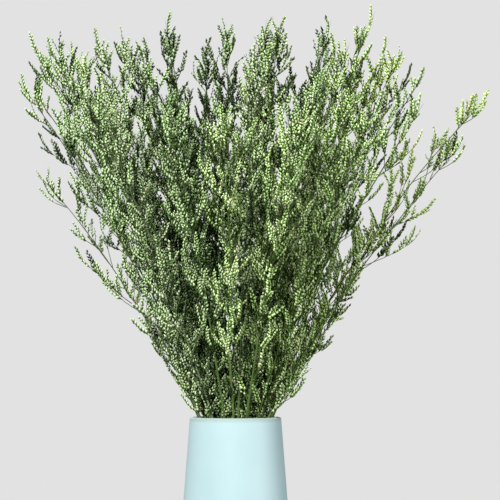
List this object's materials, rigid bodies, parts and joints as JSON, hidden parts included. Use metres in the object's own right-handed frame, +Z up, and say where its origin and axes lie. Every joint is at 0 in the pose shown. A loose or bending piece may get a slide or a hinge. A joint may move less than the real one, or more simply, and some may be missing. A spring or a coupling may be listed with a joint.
{
  "type": "bunch of dried statice in a vase",
  "caption": "Spreading bunch of dried statice stems with fine green flower spikes, standing free in a tall tapered ceramic vase.",
  "frame": {"origin": "middle of the vase's flat underside", "axes": "+Z up along the vase's axis, -Y towards the viewer of the picture, +X to that viewer's right"},
  "size_m": [0.406, 0.3538, 0.529],
  "materials": {
    "aqua_glaze": "pale aqua satin glaze",
    "dried_statice": "dry matt plant matter, green with pale cream floret tips"
  },
  "bodies": {
    "root": {"vase": "aqua_glaze", "stem_01": "dried_statice", "stem_02": "dried_statice", "stem_03": "dried_statice", "stem_04": "dried_statice", "stem_05": "dried_statice", "stem_06": "dried_statice", "stem_07": "dried_statice", "stem_08": "dried_statice", "stem_09": "dried_statice", "stem_10": "dried_statice", "stem_11": "dried_statice", "stem_12": "dried_statice", "stem_13": "dried_statice", "stem_14": "dried_statice", "stem_15": "dried_statice", "stem_16": "dried_statice", "stem_17": "dried_statice", "stem_18": "dried_statice", "stem_19": "dried_statice", "stem_20": "dried_statice", "stem_21": "dried_statice", "stem_22": "dried_statice", "stem_23": "dried_statice", "stem_24": "dried_statice", "stem_25": "dried_statice", "stem_26": "dried_statice", "stem_27": "dried_statice", "stem_28": "dried_statice", "stem_29": "dried_statice", "stem_30": "dried_statice", "stem_31": "dried_statice", "stem_32": "dried_statice", "stem_33": "dried_statice", "stem_34": "dried_statice", "stem_35": "dried_statice", "stem_36": "dried_statice", "stem_37": "dried_statice", "stem_38": "dried_statice", "stem_39": "dried_statice", "stem_40": "dried_statice", "stem_41": "dried_statice", "stem_42": "dried_statice", "stem_43": "dried_statice", "stem_44": "dried_statice"}
  },
  "joints": []
}
